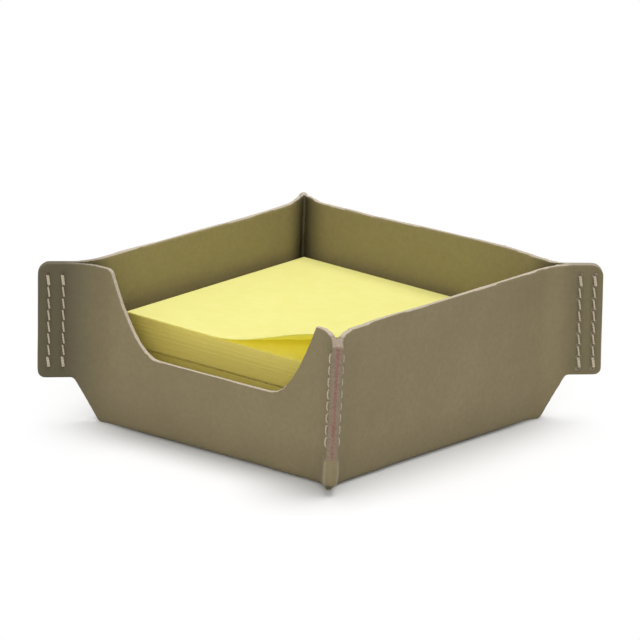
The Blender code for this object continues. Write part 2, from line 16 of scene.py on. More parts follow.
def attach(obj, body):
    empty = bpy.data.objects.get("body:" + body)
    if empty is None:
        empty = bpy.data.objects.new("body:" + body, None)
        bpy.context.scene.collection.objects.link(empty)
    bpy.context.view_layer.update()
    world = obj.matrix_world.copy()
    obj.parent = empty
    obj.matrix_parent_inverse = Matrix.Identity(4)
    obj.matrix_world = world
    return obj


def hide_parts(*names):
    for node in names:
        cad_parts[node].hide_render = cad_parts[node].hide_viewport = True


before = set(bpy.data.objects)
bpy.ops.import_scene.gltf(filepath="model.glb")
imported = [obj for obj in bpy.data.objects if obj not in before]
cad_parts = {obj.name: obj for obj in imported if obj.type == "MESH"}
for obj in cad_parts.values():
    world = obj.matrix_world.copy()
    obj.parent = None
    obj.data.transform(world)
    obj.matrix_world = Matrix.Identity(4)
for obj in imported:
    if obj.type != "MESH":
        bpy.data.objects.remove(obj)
bpy.context.view_layer.update()

# Tray
LEATHER = 0.0015
HEIGHT = 0.045
HALF = 0.0451  # centre to a wall's outside, at the base
TOP_HALF = 0.0462  # the same at the rim
BASE_SHIFT = (-0.0008, -0.00055)  # of the base, from under the rim's centre
WALLS_OUT = ((0, -1), (1, 0), (0, 1), (-1, 0))
ROOT_TWO = math.sqrt(2)

# Corners, each between the wall of its number and the next one
FRONT_FIN, RIGHT_EAR, BACK_FIN, LEFT_EAR = range(4)
FINS = (FRONT_FIN, BACK_FIN)
CORNER_SIGNS = ((1, -1), (1, 1), (-1, 1), (-1, -1))
SEAM_LEANS = ((-0.0008, 0.0), (0.0, 0.0), (0.0006, 0.0006), (0.0, 0.0))  # at foot and top
FIN_HALF = 0.00156  # half the thickness of two sewn layers
FIN_REACH = 0.0056  # past the point where the walls' tops meet
EAR_REACH = 0.01235
NOSE_TOP = 0.0098

# Stitches
STITCHES = 8
THREAD_RADIUS = 0.0003
THREAD_TAIL = 0.0006  # length of a thread's end inside its hole
STITCH_SLANT = 0.00016
STITCH_GAP = 0.00034  # hole's centre to the stitch that leaves it
DOUBLED_SHIFT = 0.0003  # between the two passes of an end stitch
PLIES = 2
PLY_LAY = 0.0014  # length of one turn
PLY_SWING = 0.00012
PLY_RADIUS = 0.00018
PLY_SIDES = 7
PLY_STEP = 0.00018
# Thread, corner, distance out, and heights of its lowest and highest holes
SEAM_ROWS = (
    ("front_seam_thread", FRONT_FIN, 0.0030, 0.0126, 0.0390),
    ("back_seam_thread", BACK_FIN, 0.0030, 0.0126, 0.0390),
    ("right_ear_outer_thread", RIGHT_EAR, 0.00985, 0.0144, 0.0410),
    ("right_ear_inner_thread", RIGHT_EAR, 0.00585, 0.0144, 0.0410),
    ("left_ear_outer_thread", LEFT_EAR, 0.00935, 0.0154, 0.0420),
    ("left_ear_inner_thread", LEFT_EAR, 0.00535, 0.0154, 0.0420),
)

# Notes
NOTE_SIDE = 0.076
SHEET = 0.0002
STACK_TURN = math.radians(1.5)
STACK_CENTRE = (-0.0029, 0.0035)
SHEET_Z = 0.0298  # height of the top note's glued edge
SHEET_LEAN_FALL = 0.0021  # from the glued edge to the free one
CURL_LIFT = 0.0094
CURL_START_NEAR = 0.0305  # glued edge to the curl, along the near edge
CURL_START_FAR = 0.1  # the same along the far edge, past its end
PAD_LEVELS = 70
PAD_SPREAD = 0.000012
PAD_SEED = 11
BACKING_LEVELS = 3
BACKING_SPREAD = 0.00004
BACKING_SEED = 21
EDGE_STEPS = 26  # points along each side of a block
WAVE_TURN = 6.28  # of the slow waves along a block's sides

# Tones, 8-bit sRGB. A pattern runs between the two of a pair
SKIN = (128, 116, 84), (137, 124, 90)
SKIN_CLOUD = (120, 108, 78)
SKIN_SPECK = (154, 141, 107)
SKIN_FOOT_SHADE = (84, 74, 52)
LINING = (144, 132, 89), (135, 124, 81)
LINING_SHADE = (70, 62, 42)
LINING_DEEP_SHADE = (48, 43, 30)
CUT_EDGE = (170, 157, 138), (198, 186, 168)
FRONT_FIN_CUT_EDGE = (138, 123, 106), (168, 152, 134)
FIN_END = (118, 103, 86), (144, 128, 108)
FIN_CORE = (122, 84, 72), (150, 112, 98)
EAR_SHADE = (82, 75, 54)
ROW_SHADE = (84, 74, 50)
HOLE_SHADE = (62, 52, 38)
THREAD = (172, 160, 136), (210, 198, 174)
PAD_SIDE = (217, 200, 101), (238, 221, 119)
PAD_TOP = (255, 238, 120), (255, 244, 135)
BACKING = (206, 188, 96), (222, 205, 118)
NOTE = (250, 248, 160), (253, 251, 170)
NOTE_UNDERSIDE = (236, 236, 168), (244, 244, 178)
NOTE_THROUGH = (252, 248, 150)
NOTE_THROUGH_SHARE = 0.34
UNDERSIDE_THROUGH_SHARE = 0.7

# Camera
AIM = Vector((0, 0, 0.022))
CAMERA_DISTANCE = 1.8537
AZIMUTH = math.radians(41.09)
ELEVATION = math.radians(16.28)
ROLL = math.radians(0.81)
LENS = 379.3
SENSOR = 36
SHIFT = (-0.0006, 0.0339)

# Floor and light
FLOOR_RADIUS = 3
FLOOR_SIDES = 64
FLOOR_Z = -0.0001
FLOOR_TONE = 0.8
FLOOR_SEEN_TONE = 0.86
SHADOW_FADE = (0.048, 0.084)
SHADOW_STRETCH = 1.8
WORLD_STRENGTH = 0.68
LAMPS = (  # name, place, size, power
    ("key", (-0.03, 0.43, 1.56), 1.25, 19),
    ("front_fill", (0.95, -1.45, 0.6), 1.0, 9.5),
)


def add_camera():
    data = bpy.data.cameras.new("camera")
    data.lens = LENS
    data.sensor_width = SENSOR
    data.sensor_fit = "HORIZONTAL"
    data.shift_x, data.shift_y = SHIFT
    data.clip_start = 0.05
    data.clip_end = 50
    camera = bpy.data.objects.new("camera", data)
    bpy.context.scene.collection.objects.link(camera)
    back = Vector((
        math.sin(AZIMUTH) * math.cos(ELEVATION),
        -math.cos(AZIMUTH) * math.cos(ELEVATION),
        math.sin(ELEVATION),
    ))
    right = Vector((math.cos(AZIMUTH), math.sin(AZIMUTH), 0))
    up = back.cross(right)
    turn = Matrix((right, up, back)).transposed().to_4x4()
    place = Matrix.Translation(AIM + back * CAMERA_DISTANCE)
    camera.matrix_world = place @ turn @ Matrix.Rotation(ROLL, 4, "Z")
    bpy.context.scene.camera = camera


# Materials


def linear(tone):
    """Linear colour of an 8-bit sRGB one."""
    out = []
    for value in tone:
        value /= 255
        out.append(value / 12.92 if value <= 0.04045 else ((value + 0.055) / 1.055) ** 2.4)
    return (*out, 1)


class Shader:
    """A material's nodes, with short calls."""

    def __init__(self, name):
        self.material = bpy.data.materials.new(name)
        self.material.use_nodes = True
        self.tree = self.material.node_tree
        self.surface = self.tree.nodes["Principled BSDF"]
        self.place = self.node("ShaderNodeTexCoord").outputs["Object"]

    def node(self, kind, **settings):
        made = self.tree.nodes.new(kind)
        for key, value in settings.items():
            setattr(made, key, value)
        return made

    def put(self, socket, value):
        if isinstance(value, bpy.types.NodeSocket):
            self.tree.links.new(value, socket)
        else:
            socket.default_value = value

    def attribute(self, name):
        return self.node("ShaderNodeAttribute", attribute_name=name).outputs["Fac"]

    def stretch(self, scale):
        made = self.node("ShaderNodeMapping")
        self.put(made.inputs["Vector"], self.place)
        made.inputs["Scale"].default_value = scale
        return made.outputs["Vector"]

    def noise(self, scale, detail, roughness, vector=None):
        made = self.node("ShaderNodeTexNoise")
        self.put(made.inputs["Vector"], vector or self.place)
        made.inputs["Scale"].default_value = scale
        made.inputs["Detail"].default_value = detail
        made.inputs["Roughness"].default_value = roughness
        return made.outputs["Fac"]

    def cells(self, scale):
        made = self.node("ShaderNodeTexVoronoi", feature="SMOOTH_F1")
        self.put(made.inputs["Vector"], self.place)
        made.inputs["Scale"].default_value = scale
        return made.outputs["Distance"]

    def span(self, value, low, high, to_low=0.0, to_high=1.0, smooth=False):
        """A value from one range, as one of another."""
        made = self.node("ShaderNodeMapRange")
        if smooth:
            made.interpolation_type = "SMOOTHSTEP"
        self.put(made.inputs["Value"], value)
        made.inputs["From Min"].default_value = low
        made.inputs["From Max"].default_value = high
        made.inputs["To Min"].default_value = to_low
        made.inputs["To Max"].default_value = to_high
        return made.outputs["Result"]

    def calc(self, operation, first, second=0.0, clamp=False):
        made = self.node("ShaderNodeMath", operation=operation, use_clamp=clamp)
        self.put(made.inputs[0], first)
        self.put(made.inputs[1], second)
        return made.outputs[0]

    def mix(self, share, first, second):
        made = self.node("ShaderNodeMix", data_type="RGBA")
        self.put(made.inputs["Factor"], share)
        self.put(made.inputs["A"], first)
        self.put(made.inputs["B"], second)
        return made.outputs["Result"]

    def tones(self, share, pair):
        return self.mix(share, linear(pair[0]), linear(pair[1]))

    def stain(self, colour, share, tone):
        return self.mix(share, colour, linear(tone))

    def bump(self, height, strength, distance):
        made = self.node("ShaderNodeBump")
        self.put(made.inputs["Height"], height)
        made.inputs["Strength"].default_value = strength
        made.inputs["Distance"].default_value = distance
        return made.outputs["Normal"]

    def finish(self, colour, roughness, normal, specular):
        self.put(self.surface.inputs["Base Color"], colour)
        self.put(self.surface.inputs["Roughness"], roughness)
        self.put(self.surface.inputs["Normal"], normal)
        self.surface.inputs["Specular IOR Level"].default_value = specular
        return self.material


def leather_material():
    s = Shader("olive_leather")
    raw = s.attribute("raw")
    broad = s.noise(45, 4, 0.6)
    fine = s.noise(700, 5, 0.7)
    speck = s.noise(2600, 3, 0.7)
    fibre = s.noise(1500, 4, 0.75)
    fibres = s.span(fibre, 0.3, 0.7)

    # Outside
    skin = s.tones(s.span(broad, 0.3, 0.7), SKIN)
    skin = s.stain(skin, s.span(fine, 0.35, 0.75, 0, 0.5), SKIN_CLOUD)
    skin = s.stain(skin, s.span(speck, 0.58, 0.78, 0, 0.35), SKIN_SPECK)
    parts = s.node("ShaderNodeSeparateXYZ")
    s.put(parts.inputs[0], s.place)
    # Painted shade at the foot of the walls, darker towards the base
    foot = s.span(parts.outputs["Z"], 0, 0.014, 0.16, 0, True)
    skin = s.stain(skin, foot, SKIN_FOOT_SHADE)

    # Inside, with painted shade, darker towards the corners and in the gap where two walls
    # meet
    crease = s.attribute("crease")
    lining = s.tones(s.span(fine, 0.3, 0.75), LINING)
    lining = s.stain(lining, s.span(crease, 0, 0.95, 0, 0.6, True), LINING_SHADE)
    lining = s.stain(lining, s.span(crease, 0.7, 1, 0, 0.45, True), LINING_DEEP_SHADE)
    colour = s.mix(s.span(s.attribute("inside"), 0.2, 0.8, 0, 1, True), skin, lining)

    # Cut edges, and the fins' raw ends with their reddish middle
    cut = s.tones(fibres, CUT_EDGE)
    # A painted highlight round the sides of each fin's nose, in the cut edges' tone
    colour = s.mix(s.span(s.attribute("ring"), 0, 1, 0, 0.35), colour, cut)
    # Darker tones for the cut edges round the front fin
    cut = s.mix(s.attribute("front_fin_cut"), cut, s.tones(fibres, FRONT_FIN_CUT_EDGE))
    colour = s.mix(s.span(raw, 0.35, 0.65, 0, 1, True), colour, cut)
    core = s.tones(s.span(fibre, 0.35, 0.65), FIN_CORE)
    off_seam = s.calc("ABSOLUTE", s.attribute("across"))
    end = s.mix(s.span(off_seam, 0.0001, 0.0006, 1, 0, True), s.tones(fibres, FIN_END), core)
    colour = s.mix(s.span(s.attribute("fin_end"), 0.35, 0.65, 0, 1, True), colour, end)

    # Painted shade: darker outwards on the ears, along the rows of stitches and at the holes
    colour = s.stain(colour, s.span(s.attribute("ear"), 0, 1, 0, 1, True), EAR_SHADE)
    colour = s.stain(colour, s.span(s.attribute("row"), 0, 1, 0, 0.5, True), ROW_SHADE)
    colour = s.stain(colour, s.span(s.attribute("hole"), 0.3, 0.8, 0, 0.8, True), HOLE_SHADE)

    # Grain
    grain = s.calc("MULTIPLY", s.cells(1500), 0.8)
    grain = s.calc("ADD", grain, s.calc("MULTIPLY", s.noise(5200, 2, 0.6), 0.35))
    grain = s.calc("ADD", grain, s.calc("MULTIPLY", s.noise(420, 6, 0.75), 0.9))
    normal = s.bump(grain, 0.32, 0.00022)
    roughness = s.span(fine, 0.3, 0.7, 0.5, 0.66)
    roughness = s.calc("ADD", roughness, s.calc("MULTIPLY", raw, 0.25), True)
    return s.finish(colour, roughness, normal, 0.35)


def thread_material():
    s = Shader("waxed_thread")
    colour = s.tones(s.span(s.noise(4200, 3, 0.7), 0.3, 0.7), THREAD)
    normal = s.bump(s.noise(6500, 3, 0.7), 0.5, 0.00008)
    return s.finish(colour, 0.5, normal, 0.4)


def sheet_edge_material(name, pair):
    """Sides of a pad, with fine lines of sheet edges."""
    s = Shader(name)
    lines = s.noise(6000, 3, 0.8, s.stretch((0.02, 0.02, 1.0)))
    fine = s.noise(900, 4, 0.6)
    # Each level's own tone; the top levels carry a painted highlight
    level = s.calc("MULTIPLY", s.attribute("level"), 0.3)
    share = s.calc("ADD", level, s.calc("MULTIPLY", lines, 0.7))
    colour = s.tones(s.span(share, 0.25, 0.75), pair)
    colour = s.stain(colour, s.span(fine, 0.4, 0.8, 0, 0.15), pair[0])
    normal = s.bump(lines, 0.12, 0.00005)
    return s.finish(colour, 0.85, normal, 0.2)


def paper_material(name, pair, through=0.0):
    """Faintly clouded paper. through is its share of light that shines through."""
    s = Shader(name)
    fibre = s.noise(5000, 4, 0.7)
    colour = s.tones(s.span(s.noise(260, 5, 0.6), 0.35, 0.65), pair)
    colour = s.stain(colour, s.span(fibre, 0.5, 0.8, 0, 0.12), pair[0])
    made = s.finish(colour, 0.8, s.bump(fibre, 0.12, 0.00005), 0.25)
    if through:
        lit = s.node("ShaderNodeBsdfTranslucent")
        lit.inputs["Color"].default_value = linear(NOTE_THROUGH)
        blend = s.node("ShaderNodeMixShader")
        blend.inputs["Fac"].default_value = through
        s.put(blend.inputs[1], s.surface.outputs["BSDF"])
        s.put(blend.inputs[2], lit.outputs["BSDF"])
        s.put(s.tree.nodes["Material Output"].inputs["Surface"], blend.outputs["Shader"])
    return made


# Pieces and their meshes


def new_piece(name, mesh, materials):
    """An object whose faces keep their material numbers."""
    piece = bpy.data.objects.new(name, mesh)
    bpy.context.scene.collection.objects.link(piece)
    numbers = [polygon.material_index for polygon in mesh.polygons]
    mesh.materials.clear()
    for material in materials:
        mesh.materials.append(material)
    last = len(materials) - 1
    mesh.polygons.foreach_set("material_index", [min(number, last) for number in numbers])
    return piece


def shade_smooth(mesh):
    mesh.polygons.foreach_set("use_smooth", [True] * len(mesh.polygons))


def finished_mesh(solid, name):
    bmesh.ops.recalc_face_normals(solid, faces=solid.faces)
    mesh = bpy.data.meshes.new(name)
    solid.to_mesh(mesh)
    solid.free()
    return mesh


def add_rings(solid, rings):
    """Faces between closed rings of points and over both ends. The last face is given back."""
    for low, high in zip(rings, rings[1:]):
        for i in range(len(low)):
            j = (i + 1) % len(low)
            solid.faces.new((low[i], low[j], high[j], high[i]))
    solid.faces.new(list(reversed(rings[0])))
    return solid.faces.new(rings[-1])


# Places on the tray


def corner_frame(index):
    """Diagonal direction, direction across it, and the point where the walls' tops meet."""
    diagonal = Vector((*CORNER_SIGNS[index], 0)) / ROOT_TWO
    across = Vector((0, 0, 1)).cross(diagonal)
    return diagonal, across, diagonal * TOP_HALF * ROOT_TWO


def wall_out(index, z):
    """Distance from the centre to a wall's outside at a height."""
    outward = WALLS_OUT[index % 4]
    rise = z / HEIGHT
    shift = outward[0] * BASE_SHIFT[0] + outward[1] * BASE_SHIFT[1]
    return HALF + (TOP_HALF - HALF) * rise + shift * (1 - rise)


def seam_across(index, z):
    """How far a corner's seam lies off its diagonal at a height."""
    shift = (wall_out(index + 1, z) - wall_out(index, z)) / ROOT_TWO
    foot, top = SEAM_LEANS[index]
    return shift + foot + (top - foot) * z / HEIGHT


def corner_places(index, places):
    """How far points lie out along a corner's diagonal, and across from its seam."""
    diagonal, across, corner = (np.array(v) for v in corner_frame(index))
    out = (places - corner) @ diagonal
    return out, places @ across - seam_across(index, places[:, 2])


def hole_heights(low, high):
    return [low + (high - low) * i / STITCHES for i in range(STITCHES + 1)]


# Leather

VOXEL = 0.00042
SMOOTH_TIMES = 5

# Where a face of the solid tray is a cut edge
FACES_ALONG = 0.7  # share of a normal in a direction
RIM_LOW = 0.015
NOTCH_WALL = -0.042
NOTCH_LOW = 0.02
NOTCH_HALF = 0.041
FIN_END_SLACK = 0.0005
FIN_END_LOW = 0.0097
EAR_INNER = -0.013  # start of the cut-out under an ear, out from its corner
EAR_CUT_LOW = 0.003
EAR_CUT_ACROSS = 0.35

# Plates between sewn layers: where they start, and the height and far end of each level
PLATE_HALF = 0.00025
FIN_PLATE_FAR = FIN_REACH - 0.0004
EAR_PLATE_FAR = EAR_REACH - 0.0004
FIN_PLATE = (0.0031, ((0.0095, FIN_PLATE_FAR), (0.0400, FIN_PLATE_FAR)))
EAR_PLATE = (0.0015, ((0.0128, 0.0025), (0.0150, EAR_PLATE_FAR), (0.0405, EAR_PLATE_FAR)))

# Marks that the material shows
BASE_TOP = 0.001
WALL_BAND = 0.004  # depth within which a wall's inner face lies
WALL_FACING = -0.25
FLOOR_INSET = 0.0025
FLOOR_FACING = 0.3
END_MARK_DEPTH = 0.0006
END_MARK_DROP = 0.0026  # from the top of the walls
END_MARK_HALF = FIN_HALF + 0.0002
END_MARK_FACING = 0.4
FRONT_FIN_CUT_HALF = 0.002
NOSE_HIGHLIGHT_FACING = 0.8
NOSE_HIGHLIGHT_SPREAD = 0.2
MOUTH_HALF = 0.001  # gap that shows where a corner's walls meet
MOUTH_REACH = 0.0045
HOLE_SHADE_MARK = 0.0007  # how far painted shade reaches from its hole, row or corner
ROW_SHADE_MARK = 0.0016
CREASE_SHADE_MARK = 0.009
# Painted shade on an ear, darker outwards: where it starts inside the corner, over which run,
# and how strong
EAR_SHADE_MARKS = {RIGHT_EAR: (0.002, 0.006, 0.45), LEFT_EAR: (0.011, 0.016, 0.8)}
MARK_BLURS = {"raw": 2, "fin_end": 2, "front_fin_cut": 2, "ring": 1, "inside": 1}
# Rise of the rims beside the back fin, by the distance from it
RIM_GONE = (0, 0.0027, 0.0045, 0.009, 0.012, 0.025)
LEFT_RIM_RISE = (0.0006, 0.0008, 0.0009, 0.00065, 0.00045, 0)
RIGHT_RIM_RISE = (0.0006, 0.0006, 0.0004, 0.0005, 0.00045, 0)
RIM_BAND = 0.004
RIM_DEPTH = 0.014  # from the top of the walls down to where the rise starts
RIM_DEPTH_RUN = 0.012
# Foot of a wall beside a fin, brought out to its straight line
FOOT_FOLD_RADIUS = 0.0022
FOOT_PUSH_LIMIT = 0.003
FOOT_LOW = 0.0015
FOOT_RUN = 0.0075
FOOT_SKIN_LOW = 0.0001
FOOT_SKIN_DEPTH = 0.0065
FOOT_SKIN_FACING = 0.05
FOOT_INNER = -0.018  # the stretch of wall, out from the corner
FOOT_OUTER = 0.0015
FOOT_FOLD_RUN = 0.009
# Top of the back fin
ARCH_RISE = 0.0003
ARCH_FALL = 700
ARCH_DEPTH = 0.0014
# Unevenness of the leather: rate and size, and the height over which it sets in
SWELLS = ((42, 0.00018), (130, 0.00005))
SWELL_RUN = 0.006


def on_cut_edge(centre, normal):
    """Whether a face of the solid tray is a cut edge of the leather."""
    if centre.z > RIM_LOW and normal.z > FACES_ALONG:
        return True
    in_notch = centre.y < NOTCH_WALL and centre.z > NOTCH_LOW and abs(centre.x) < NOTCH_HALF
    if in_notch and abs(normal.y) < 0.5:
        return True
    for index in range(4):
        diagonal, across, corner = corner_frame(index)
        out = (centre - corner).dot(diagonal)
        if index in FINS:
            on_end = out > FIN_REACH - FIN_END_SLACK and centre.z > FIN_END_LOW
            if on_end and normal.dot(diagonal) > FACES_ALONG:
                return True
        elif out > EAR_INNER and abs(normal.dot(across)) < EAR_CUT_ACROSS:
            if centre.z > EAR_CUT_LOW or abs(normal.z) < FACES_ALONG:
                return True
    return False


def add_seam_plates(mesh):
    """Fills the narrow gaps between sewn layers."""
    solid = bmesh.new()
    solid.from_mesh(mesh)
    for index in range(4):
        diagonal, across, corner = corner_frame(index)
        near, levels = FIN_PLATE if index in FINS else EAR_PLATE
        rings = []
        for z, far in levels:
            middle = seam_across(index, z)
            ring = []
            for out, side in ((near, -1), (far, -1), (far, 1), (near, 1)):
                place = corner + diagonal * out + across * (middle + side * PLATE_HALF)
                ring.append(solid.verts.new(place + Vector((0, 0, z))))
            rings.append(ring)
        add_rings(solid, rings)
    solid.to_mesh(mesh)
    solid.free()


def fine_tray(material):
    """The solid tray as one finer mesh with rounded edges."""
    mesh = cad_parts["leather_tray"].data.copy()
    add_seam_plates(mesh)
    piece = new_piece("leather_body", mesh, (material,))
    remesh = piece.modifiers.new("remesh", "REMESH")
    remesh.mode = "VOXEL"
    remesh.voxel_size = VOXEL
    smooth = piece.modifiers.new("smooth", "SMOOTH")
    smooth.factor = 0.5
    smooth.iterations = SMOOTH_TIMES
    graph = bpy.context.evaluated_depsgraph_get()
    result = bpy.data.meshes.new_from_object(piece.evaluated_get(graph))
    piece.modifiers.clear()
    piece.data = result
    result.materials.clear()
    result.materials.append(material)
    shade_smooth(result)
    return piece


def read_points(mesh):
    flat = np.empty(len(mesh.vertices) * 3, np.float32)
    mesh.vertices.foreach_get("co", flat)
    places = flat.reshape(-1, 3).astype(float)
    mesh.vertex_normals.foreach_get("vector", flat)
    return places, flat.reshape(-1, 3).astype(float)


def cut_edge_mark(places):
    """1 at each point that is nearest to a cut edge, and 0 at the others."""
    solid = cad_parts["leather_tray"].data
    corners = [vertex.co for vertex in solid.vertices]
    tree = BVHTree.FromPolygons(corners, [tuple(p.vertices) for p in solid.polygons])
    cut = [on_cut_edge(p.center, p.normal) for p in solid.polygons]
    return np.array([cut[tree.find_nearest(Vector(place))[2]] for place in places], float)


def nearest_walls(places, normals):
    """Each point's nearest wall, its depth behind the wall's outside, and how it faces."""
    depths = []
    facings = []
    for index, outward in enumerate(np.array(WALLS_OUT)):
        depths.append(wall_out(index, places[:, 2]) - places[:, :2] @ outward)
        facings.append(normals[:, :2] @ outward)
    nearest = np.argmin(depths, axis=0)
    return nearest, np.min(depths, axis=0), np.choose(nearest, facings)


def mark_fin(index, marks, normals, heights, out, sideways):
    """Raw end, darker cut edges at the front fin, and a painted highlight round the sides of
    the nose under a fin.
    """
    diagonal, across, _ = (np.array(v) for v in corner_frame(index))
    end = (out > FIN_REACH - END_MARK_DEPTH) & (normals @ diagonal > END_MARK_FACING)
    end &= (heights > NOSE_TOP) & (heights < HEIGHT - END_MARK_DROP)
    marks["fin_end"][end & (np.abs(sideways) < END_MARK_HALF)] = 1
    if index == FRONT_FIN:
        marks["front_fin_cut"][(out > 0) & (np.abs(sideways) < FRONT_FIN_CUT_HALF)] = 1
    # Painted highlight where the nose's surface turns sideways
    nose_highlight = 1 - np.abs(np.abs(normals @ across) - NOSE_HIGHLIGHT_FACING) / NOSE_HIGHLIGHT_SPREAD
    on_nose = (out > 0) & (heights < NOSE_TOP)
    marks["ring"][on_nose] = np.clip(nose_highlight, 0, 1)[on_nose]


def mark_corner(index, marks, places, normals):
    """What the material shows at a fin or an ear."""
    heights = places[:, 2]
    out, sideways = corner_places(index, places)
    beyond = out > 0
    marks["across"][beyond] = sideways[beyond]
    if index in FINS:
        mark_fin(index, marks, normals, heights, out, sideways)
    else:
        start, run, strength = EAR_SHADE_MARKS[index]
        shade = np.clip((out + start) / run, 0, 1) * strength
        marks["ear"] = np.maximum(marks["ear"], shade)
    # Painted shade along each row of stitches and at each hole
    for _, corner, row_out, low, high in SEAM_ROWS:
        if corner != index:
            continue
        past_row = np.maximum(np.maximum(low - heights, heights - high), 0)
        near_row = 1 - np.hypot(out - row_out, past_row) / ROW_SHADE_MARK
        marks["row"] = np.maximum(marks["row"], np.where(beyond, near_row, 0))
        for z in hole_heights(low, high):
            near_hole = 1 - np.hypot(out - row_out, heights - z) / HOLE_SHADE_MARK
            marks["hole"] = np.maximum(marks["hole"], np.where(beyond, near_hole, 0))
    # Painted shade in each inside corner, strongest at its crease
    short = np.minimum(out + LEATHER * ROOT_TWO, 0)
    marks["crease"] = np.maximum(marks["crease"], 1 - np.hypot(short, sideways) / CREASE_SHADE_MARK)
    # The gap where the walls meet takes the lining tone with the deepest painted shade
    mouth = (np.abs(sideways) < MOUTH_HALF) & (short == 0)
    mouth &= (out < MOUTH_REACH) & (heights > BASE_TOP)
    marks["inside"][mouth] = 1
    marks["crease"][mouth] = 1


def arch_fin_top(places):
    """Rounds the top of the back fin into a low arch."""
    out, sideways = corner_places(BACK_FIN, places)
    arch = HEIGHT + ARCH_RISE - ARCH_FALL * sideways**2
    over = (out > 0) & (places[:, 2] > arch)
    places[over, 2] = np.maximum(arch[over], HEIGHT - ARCH_DEPTH)


def back_rim_rise(places):
    """How far the rims beside the back fin are raised."""
    left = np.interp(TOP_HALF - places[:, 1], RIM_GONE, LEFT_RIM_RISE)
    right = np.interp(places[:, 0] + TOP_HALF, RIM_GONE, RIGHT_RIM_RISE)
    on_left = places[:, 0] < -TOP_HALF + RIM_BAND
    on_right = places[:, 1] > TOP_HALF - RIM_BAND
    on_one = np.where(on_left, left, np.where(on_right, right, 0))
    rise = np.where(on_left & on_right, (left + right) / 2, on_one)
    return rise * np.clip((places[:, 2] - HEIGHT + RIM_DEPTH) / RIM_DEPTH_RUN, 0, 1)


def base_corner_push(places, nearest, depth, facing):
    """Brings the walls' feet beside the fins out to straight lines."""
    push = np.zeros((len(places), 2))
    heights = places[:, 2]
    short = np.clip((FOOT_FOLD_RADIUS - heights) / FOOT_FOLD_RADIUS, 0, 1)
    fold = FOOT_FOLD_RADIUS * (1 - np.sqrt(1 - short**2))
    weight = np.clip(1 - (heights - FOOT_LOW) / FOOT_RUN, 0, 1)
    weight = weight**2 * (3 - 2 * weight)
    outer = (facing > FOOT_SKIN_FACING) & (heights > FOOT_SKIN_LOW) & (depth < FOOT_SKIN_DEPTH)
    for index in FINS:
        out, _ = corner_places(index, places)
        zone = outer & (out > FOOT_INNER) & (out < FOOT_OUTER)
        amount = depth - fold * np.clip(-out / FOOT_FOLD_RUN, 0, 1)
        amount = np.clip(amount, 0, FOOT_PUSH_LIMIT) * weight
        push[zone] = (np.array(WALLS_OUT)[nearest] * amount[:, None])[zone]
    return push


def blurred(values, edges, times):
    """Spreads a value over neighbouring points."""
    for _ in range(times):
        total = values.copy()
        number = np.ones(len(values))
        for a, b in ((0, 1), (1, 0)):
            np.add.at(total, edges[:, a], values[edges[:, b]])
            np.add.at(number, edges[:, a], 1)
        values = total / number
    return values


def add_leather(material):
    piece = fine_tray(material)
    mesh = piece.data
    places, normals = read_points(mesh)
    nearest, depth, facing = nearest_walls(places, normals)
    beside = (depth < WALL_BAND) & (facing < WALL_FACING) & (places[:, 2] > BASE_TOP)
    floor = (depth > FLOOR_INSET) & (normals[:, 2] > FLOOR_FACING)
    names = ("across", "crease", "ear", "fin_end", "hole", "ring", "row", "front_fin_cut")
    marks = {name: np.zeros(len(places)) for name in names}
    marks["across"] += 1
    marks["raw"] = cut_edge_mark(places)
    marks["inside"] = (beside | floor).astype(float)
    for index in range(4):
        mark_corner(index, marks, places, normals)
    arch_fin_top(places)
    swell = np.zeros(len(places))
    for rate, size in SWELLS:
        swell += np.array([noise.noise(Vector(place) * rate) * size for place in places])
    swell *= np.clip((places[:, 2] - BASE_TOP) / SWELL_RUN, 0, 1)
    moved = places + normals * swell[:, None]
    moved[:, 2] += back_rim_rise(places)
    moved[:, :2] += base_corner_push(places, nearest, depth, facing)
    mesh.vertices.foreach_set("co", moved.astype(np.float32).ravel())
    mesh.update()
    edges = np.empty(len(mesh.edges) * 2, np.int32)
    mesh.edges.foreach_get("vertices", edges)
    edges = edges.reshape(-1, 2)
    for name, values in marks.items():
        values = blurred(values, edges, MARK_BLURS.get(name, 0))
        layer = mesh.attributes.new(name, "FLOAT", "POINT")
        layer.data.foreach_set("value", np.asarray(values, np.float32))
    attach(piece, "tray")
    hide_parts("leather_tray")


# Threads


def stitch_points(start, end, face):
    """One stitch on a face, as distances out, across and up: it rises, lies and sinks."""
    surface = FIN_HALF + THREAD_RADIUS * 0.7
    step = (end - start).normalized() * THREAD_RADIUS
    low = surface - 1.6 * THREAD_RADIUS
    shoulder = surface - 0.2 * THREAD_RADIUS
    crown = surface + 0.2 * THREAD_RADIUS
    points = []
    for place, height in (
        (start, low),
        (start + step, shoulder),
        (start + (end - start) * 0.5, crown),
        (end - step, shoulder),
        (end, low),
    ):
        points.append(Vector((place.x, face * height, place.y)))
    return points


def placed_on_corner(points, index):
    diagonal, across, corner = corner_frame(index)
    placed = []
    for point in points:
        side = point.y + seam_across(index, point.z)
        placed.append(corner + diagonal * point.x + across * side + Vector((0, 0, point.z)))
    return placed


def stitch_ends(holes, i, face):
    """Where one stitch leaves and enters the leather: a little aslant, short of its holes."""
    lean = Vector((-face * STITCH_SLANT, STITCH_GAP))
    return holes[i] + lean, holes[i + 1] - lean


